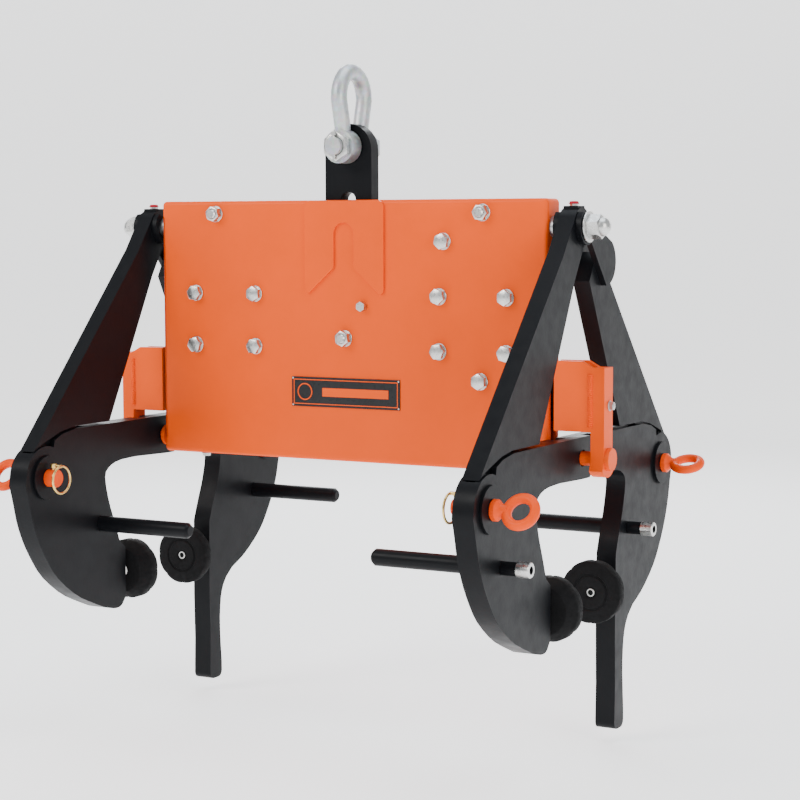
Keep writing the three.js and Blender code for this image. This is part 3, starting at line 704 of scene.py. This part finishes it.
# ---- lifting bar, beam, brackets ----------------------------------------------------
class CLAMP_OT_hanger(bpy.types.Operator):
    """Finish the lifting bar, crossbeam and end brackets and add their welds"""
    bl_idname = "clamp.hanger"
    bl_label = "Lifting bar and brackets"

    def execute(self, context):
        dress("lifting_bar", black_paint(), sizes().edge_round)
        dress("crossbeam", black_paint(), 0.0008)
        dress("latch_pin", machined(), 0.0004)
        radius = sizes().weld_width / MM
        for end, word in ENDS:
            dress(f"bracket_{word}", orange_paint(), 0.0011)
            dress(f"horn_pin_{word}", orange_paint(), 0.0008)
            bm = bmesh.new()
            for side, _ in SIDES:
                y = side * 18.0
                swept(bm, [at_height(end * 458.4, y, -327), at_height(end * 458.4, y, -240)], radius,
                      ripple=0.22, step=3.4)
                swept(bm, [at_height(end * 394.5, side * 8.6, -320.4),
                           at_height(end * 440.0, side * 8.6, -320.4)], radius * 0.7,
                      ripple=0.22, step=3.0)
            piece(f"bracket_weld_{word}", bm, orange_paint(), "hanger", 60)
            bm = bmesh.new()
            place = facing((end, 0, 0), at_height(end * 483.2, 4, -292))
            washer(bm, place, 4.3, 8.8, 1.6)
            hexagon(bm, facing((end, 0, 0), at_height(end * 484.8, 4, -292)), 13, 6.2, spin=0.3)
            piece(f"hanger_screw_{word}", bm, machined(), "hanger", 34)
        return {"FINISHED"}


# ---- shackle ------------------------------------------------------------------------
SHACKLE_NUT_FLATS = 45.0
SHACKLE_NUT_BORE = 15.8


class CLAMP_OT_shackle(bpy.types.Operator):
    """Finish the shackle and build its nut and split pin"""
    bl_idname = "clamp.shackle"
    bl_label = "Shackle"

    def execute(self, context):
        dress("shackle_bow", galvanised(), 0.0022, 3)
        dress("shackle_pin", galvanised(), 0.0010)
        centre = middle("shackle_nut") / MM
        low, high = (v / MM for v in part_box("shackle_nut"))
        bm = bmesh.new()
        hexagon(bm, facing((0, -1, 0), (0, high.y, centre.z)), SHACKLE_NUT_FLATS,
                high.y - low.y, bore=SHACKLE_NUT_BORE, both_ends=True)
        piece("shackle_nut_turned", bm, zinc(), "shackle", 34, ("shackle_nut",))
        dress("shackle_cotter", zinc(), 0.0004)
        return {"FINISHED"}


# ---- arms ---------------------------------------------------------------------------
DOME_NUT_FLATS = 36.0
DOME_NUT_HEX = 21.0
DOME_R = 15.8
DOME_HEIGHT = 14.4


class CLAMP_OT_arms(bpy.types.Operator):
    """Finish the four arms, the top shafts and their nuts and grease caps"""
    bl_idname = "clamp.arms"
    bl_label = "Arms and top shafts"

    def execute(self, context):
        for end, word in ENDS:
            for _, place in SIDES:
                dress(f"arm_{place}_{word}", black_paint(), sizes().edge_round)
            dress(f"top_shaft_{word}", machined(), 0.0006)
            dress(f"shaft_washer_{word}", zinc(), 0.0008)
            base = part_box(f"dome_nut_{word}")
            foot = (base[0].x if end > 0 else base[1].x) / MM
            bm = bmesh.new()
            hexagon(bm, facing((end, 0, 0), at_height(foot, 0, 0)), DOME_NUT_FLATS, DOME_NUT_HEX,
                    spin=0.15)
            dome = [(DOME_R * math.cos(math.radians(a)), DOME_HEIGHT * math.sin(math.radians(a)))
                    for a in range(0, 86, 8)]
            turned(bm, facing((end, 0, 0), at_height(foot + end * (DOME_NUT_HEX - 0.2), 0, 0)), dome, 40)
            piece(f"dome_nut_turned_{word}", bm, zinc(), "housing", 34, (f"dome_nut_{word}",))
            bm = bmesh.new()
            x = end * ARM_X
            turned(bm, facing((0, 0, 1), at_height(x, 0, 24.5)), [(4.6, 0), (4.6, 12)], 20)
            hexagon(bm, facing((0, 0, 1), at_height(x, 0, 34.2)), 12.5, 3.6)
            piece(f"grease_nipple_hex_{word}", bm, zinc(), f"arm_front_{word}", 34,
                  (f"grease_nipple_{word}",))
            bm = bmesh.new()
            turned(bm, facing((0, 0, 1), at_height(x, 0, 37.3)),
                   [(8.0, 0), (8.9, 0.5), (8.9, 1.6), (7.6, 2.0), (7.2, 3.9), (6.2, 4.6), (2.0, 4.7)], 28)
            piece(f"grease_cap_{word}", bm, cap_plastic(), f"arm_front_{word}", 40)
        return {"FINISHED"}


# ---- jaws, stop bars ----------------------------------------------------------------
class CLAMP_OT_jaws(bpy.types.Operator):
    """Finish the four jaws and build the zinc sockets of their stop bars"""
    bl_idname = "clamp.jaws"
    bl_label = "Jaws and stop bars"

    def execute(self, context):
        for end, word, _, place in CORNERS:
            dress(f"jaw_{place}_{word}", black_paint(), sizes().edge_round)
            dress(f"stop_bar_{place}_{word}", black_paint(), 0.0008)
            low, high = (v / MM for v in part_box(f"stop_bar_{place}_{word}"))
            centre = (low + high) / 2
            outer = high.x if end > 0 else low.x
            plate = end * (ARM_X + 18.3)
            long = abs(outer - plate)
            bm = bmesh.new()
            neck = long * 0.54
            rings = [(11.2, neck), (12.2, neck + 0.7), (12.2, long - 1.0), (11.2, long + 0.3),
                     (6.6, long + 0.3), (6.2, long - 7.0), (11.0, long - 9.0)]
            made = [ring_of(bm, circle(r, h, 36), facing((end, 0, 0), (plate, centre.y, centre.z)))
                    for r, h in rings]
            for a, b in zip(made, made[1:]):
                join_rings(bm, a, b)
            close_ring(bm, made[0])
            close_ring(bm, made[-1])
            piece(f"stop_bar_socket_{place}_{word}", bm, zinc(), f"jaw_{place}_{word}", 34)
        return {"FINISHED"}


# ---- knee pins ----------------------------------------------------------------------
class CLAMP_OT_knee_pins(bpy.types.Operator):
    """Build the pull pins with their painted eyes and the linch pins that keep them"""
    bl_idname = "clamp.knee_pins"
    bl_label = "Pull pins and linch pins"

    def execute(self, context):
        for end, word, side, place in CORNERS:
            node = f"pull_pin_{place}_{word}"
            low, high = (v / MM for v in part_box(node))
            tip = high.x if end > 0 else low.x
            y = (low.y + high.y) / 2
            z = (low.z + high.z) / 2
            eye, tube = 23.0, 8.0
            eye_x = tip - end * (eye + tube)
            tilt = math.radians(55 if side < 0 else 20)
            axis = (0, -math.sin(tilt), math.cos(tilt))
            bm = bmesh.new()
            hoop(bm, facing(axis, (eye_x, y, z)), eye, tube - 0.1, 56, 20)
            plate = end * (ARM_X + 23.4)
            reach = abs(eye_x - plate) - eye
            turned(bm, facing((end, 0, 0), (plate, y, z)),
                   [(15.2, 0), (16.8, 1.2), (16.8, 8), (13.0, 12), (9.6, 17), (9.0, reach + 2)], 36)
            piece(f"pull_pin_eye_{place}_{word}", bm, eye_paint(), node, 40, (node,))
            bm = bmesh.new()
            start = end * 377
            turned(bm, facing((end, 0, 0), (start, y, z)),
                   [(12.6, 0), (14.9, 2.4), (14.9, abs(plate - start) + 1.0)], 36)
            piece(f"pull_pin_shank_{place}_{word}", bm, eye_paint(), node, 40)
            linch = f"linch_pin_{place}_{word}"
            ring_x = end * 371
            bm = bmesh.new()
            hoop(bm, facing((1, 0, 0), (ring_x, y, z - 2)), 23.0, 2.1, 48, 12)
            piece(f"linch_ring_{place}_{word}", bm, yellow_zinc(), linch, 40, (linch,))
            bm = bmesh.new()
            turned(bm, facing((0, 0, 1), (end * 387, y, z - 20)),
                   [(1.2, 0), (3.4, 2.6), (3.5, 40), (4.0, 40.4), (4.0, 43.6)], 24)
            turned(bm, facing((0, 0, 1), (end * 387, y, z + 17.4)),
                   [(5.4, 0), (6.0, 0.8), (6.0, 6.6), (5.2, 7.4), (2.0, 7.8)], 28)
            swept(bm, [(end * 388, y, z + 21), (end * 371, y, z + 21)], 3.0, 12)
            piece(f"linch_shank_{place}_{word}", bm, yellow_zinc(), linch, 40)
        return {"FINISHED"}


# ---- pads ---------------------------------------------------------------------------
PAD_RIM = 22.0


def lobed(radius, depth, lobes, count, height):
    """Outline with rounded lobes and narrow notches between them."""
    points = []
    for i in range(count):
        a = math.tau * i / count
        wave = abs(math.sin(a * lobes / 2)) ** 0.45
        r = radius - depth * (1.0 - wave)
        points.append((r * math.cos(a), r * math.sin(a), height))
    return points


class CLAMP_OT_pads(bpy.types.Operator):
    """Build the swivel pads: lobed rubber drum, centre ring and ball stud"""
    bl_idname = "clamp.pads"
    bl_label = "Swivel pads"

    def execute(self, context):
        lobes = sizes().pad_lobes
        count = lobes * 16
        for _, word, side, place in CORNERS:
            node = f"pad_{place}_{word}"
            low, high = (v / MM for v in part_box(node))
            x, z = (low.x + high.x) / 2, (low.z + high.z) / 2
            face = low.y if side > 0 else high.y
            into = (0, side, 0)
            place_at = facing(into, (x, face, z))
            radius = (high.z - low.z) / 2
            bm = bmesh.new()
            depth = high.y - low.y
            rings = [ring_of(bm, lobed(r, d, lobes, count, h), place_at) for r, d, h in (
                (9.0, 0.0, 2.6), (11.0, 0.0, 0.6), (13.0, 0.0, 0.0), (27.0, 0.0, 0.0),
                (28.6, 0.0, 2.0), (31.0, 0.0, 2.0), (32.6, 0.0, 0.0), (radius - 4.5, 1.6, 0.0),
                (radius - 1.4, 1.8, 0.9), (radius, 1.8, 3.0), (radius, 1.8, PAD_RIM - 1.0),
                (radius - 1.2, 1.4, PAD_RIM + 1.0), (radius - 13.6, 0.4, depth - 1.0),
                (radius - 15.0, 0.2, depth - 0.2), (16.0, 0.0, depth - 0.2))]
            for a, b in zip(rings, rings[1:]):
                join_rings(bm, a, b)
            close_ring(bm, rings[0])
            close_ring(bm, rings[-1])
            piece(f"pad_rubber_{place}_{word}", bm, rubber(), node, 40, (node,))
            bm = bmesh.new()
            washer(bm, facing(into, (x, face + side * 0.7, z)), 5.0, 6.9, 1.7)
            piece(f"pad_centre_ring_{place}_{word}", bm, zinc(), node, 34)
            dress(f"pad_stud_{place}_{word}", zinc(), 0.0006)
        return {"FINISHED"}


# ---- stage --------------------------------------------------------------------------
FLOOR_DROP = 0.02
FLOOR_GLOW = 1.0
PAPER_WHITE = (1.0, 1.0, 1.0, 1.0)


def softbox(name, place, aim, size, power, tint):
    lamp = bpy.data.lights.new(name, "AREA")
    lamp.shape = "RECTANGLE"
    lamp.size, lamp.size_y = (side * BUILT_SIZE for side in size)
    lamp.energy = power * BUILT_SIZE ** 2
    lamp.color = tint
    made = bpy.data.objects.new(name, lamp)
    made.location = Vector(place) * BUILT_SIZE
    made.rotation_euler = (Vector(aim) - Vector(place)).to_track_quat("-Z", "Y").to_euler()
    bpy.context.scene.collection.objects.link(made)


class CLAMP_OT_stage(bpy.types.Operator):
    """Build the pale floor and backdrop, the soft lights and the camera"""
    bl_idname = "clamp.stage"
    bl_label = "Stage"

    def execute(self, context):
        floor_z = CAD_BOX[0].z - FLOOR_DROP
        bm = bmesh.new()
        back, rise, bend = 7.0, 6.0, 2.0
        away = Vector((-0.48, 0.877, 0.0)).normalized()
        across = Vector((away.y, -away.x, 0.0))
        run = [-9.0, -3.0, back - bend]
        rows = [(d, 0.0) for d in run]
        rows += [(back - bend + bend * math.sin(math.radians(a)),
                  bend - bend * math.cos(math.radians(a))) for a in range(8, 91, 8)]
        rows.append((back, rise))
        previous = None
        for d, h in rows:
            row = [bm.verts.new(away * d + across * w + Vector((0, 0, floor_z + h)))
                   for w in (-14.0, 0.0, 14.0)]
            if previous:
                for i in range(2):
                    bm.faces.new((previous[i], previous[i + 1], row[i + 1], row[i]))
            previous = row
        bmesh.ops.recalc_face_normals(bm, faces=bm.faces)
        mesh = bpy.data.meshes.new("floor")
        bm.to_mesh(mesh)
        bm.free()
        mesh.shade_smooth()
        paper = finish("floor_paper", colours().floor, 0.0, (0.8, 0.95), 60.0, 0.04,
                       patches=0.6, spread=0.01)
        glaze = paper.node_tree.nodes["Principled BSDF"]
        glaze.inputs["Emission Color"].default_value = PAPER_WHITE
        glaze.inputs["Emission Strength"].default_value = FLOOR_GLOW
        mesh.materials.append(paper)
        floor = bpy.data.objects.new("floor", mesh)
        bpy.context.scene.collection.objects.link(floor)

        heart = (0.0, 0.0, -0.55)
        softbox("key", (-2.2, -3.4, 2.2), heart, (2.6, 2.0), 128.0, (1.0, 0.98, 0.95))
        softbox("sky", (0.4, 0.2, 3.0), heart, (3.6, 3.0), 110.0, (0.86, 0.93, 1.0))
        softbox("fill", (3.6, -1.6, 0.6), heart, (2.0, 2.4), 60.0, (1.0, 0.97, 0.93))
        softbox("rim", (-1.6, 3.2, 1.2), heart, (2.4, 1.6), 70.0, (0.92, 0.96, 1.0))
        world = bpy.data.worlds.new("studio")
        world.use_nodes = True
        glow = world.node_tree.nodes["Background"]
        glow.inputs["Color"].default_value = (0.93, 0.95, 1.0, 1.0)
        glow.inputs["Strength"].default_value = 0.62
        bpy.context.scene.world = world

        lens = bpy.data.cameras.new("camera")
        lens.lens, lens.sensor_width = 91.611, 36.0
        lens.clip_end = 60.0
        eye = bpy.data.objects.new("camera", lens)
        yaw, pitch, roll = (math.radians(a) for a in (28.867, 4.923, -0.157))
        forward = Vector((-math.sin(yaw) * math.cos(pitch), math.cos(yaw) * math.cos(pitch),
                          -math.sin(pitch)))
        level = Vector((math.cos(yaw), math.sin(yaw), 0.0))
        upright = level.cross(forward)
        right = level * math.cos(roll) + upright * math.sin(roll)
        top = upright * math.cos(roll) - level * math.sin(roll)
        turn = Matrix((right, top, -forward)).transposed()
        eye.matrix_world = Matrix.Translation((1.42736, -2.45280, -0.19904)) @ turn.to_4x4()
        bpy.context.scene.collection.objects.link(eye)
        bpy.context.scene.camera = eye
        return {"FINISHED"}


class CLAMP_PT_parts(bpy.types.Panel):
    """Sizes and colours of the clamp, and the buttons that build it"""
    bl_label = "Slab clamp"
    bl_idname = "CLAMP_PT_parts"
    bl_space_type = "VIEW_3D"
    bl_region_type = "UI"
    bl_category = "Clamp"

    def draw(self, context):
        for group in (context.scene.clamp_sizes, context.scene.clamp_colours):
            box = self.layout.box()
            for key in group.__annotations__:
                box.prop(group, key)
        for operator in OPERATORS:
            self.layout.operator(operator.bl_idname)


OPERATORS = (CLAMP_OT_stage, CLAMP_OT_housing, CLAMP_OT_fasteners, CLAMP_OT_sign, CLAMP_OT_hanger,
             CLAMP_OT_shackle, CLAMP_OT_arms, CLAMP_OT_jaws, CLAMP_OT_knee_pins, CLAMP_OT_pads)
CLASSES = (ClampSizes, ClampColours, *OPERATORS, CLAMP_PT_parts)


def register():
    for cls in CLASSES:
        bpy.utils.register_class(cls)
    bpy.types.Scene.clamp_sizes = PointerProperty(type=ClampSizes)
    bpy.types.Scene.clamp_colours = PointerProperty(type=ClampColours)


def unregister():
    del bpy.types.Scene.clamp_colours
    del bpy.types.Scene.clamp_sizes
    for cls in reversed(CLASSES):
        bpy.utils.unregister_class(cls)


def main():
    register()
    bpy.ops.clamp.stage()
    bpy.ops.clamp.housing()
    bpy.ops.clamp.fasteners()
    bpy.ops.clamp.sign()
    bpy.ops.clamp.hanger()
    bpy.ops.clamp.shackle()
    bpy.ops.clamp.arms()
    bpy.ops.clamp.jaws()
    bpy.ops.clamp.knee_pins()
    bpy.ops.clamp.pads()


if __name__ == "__main__":
    main()
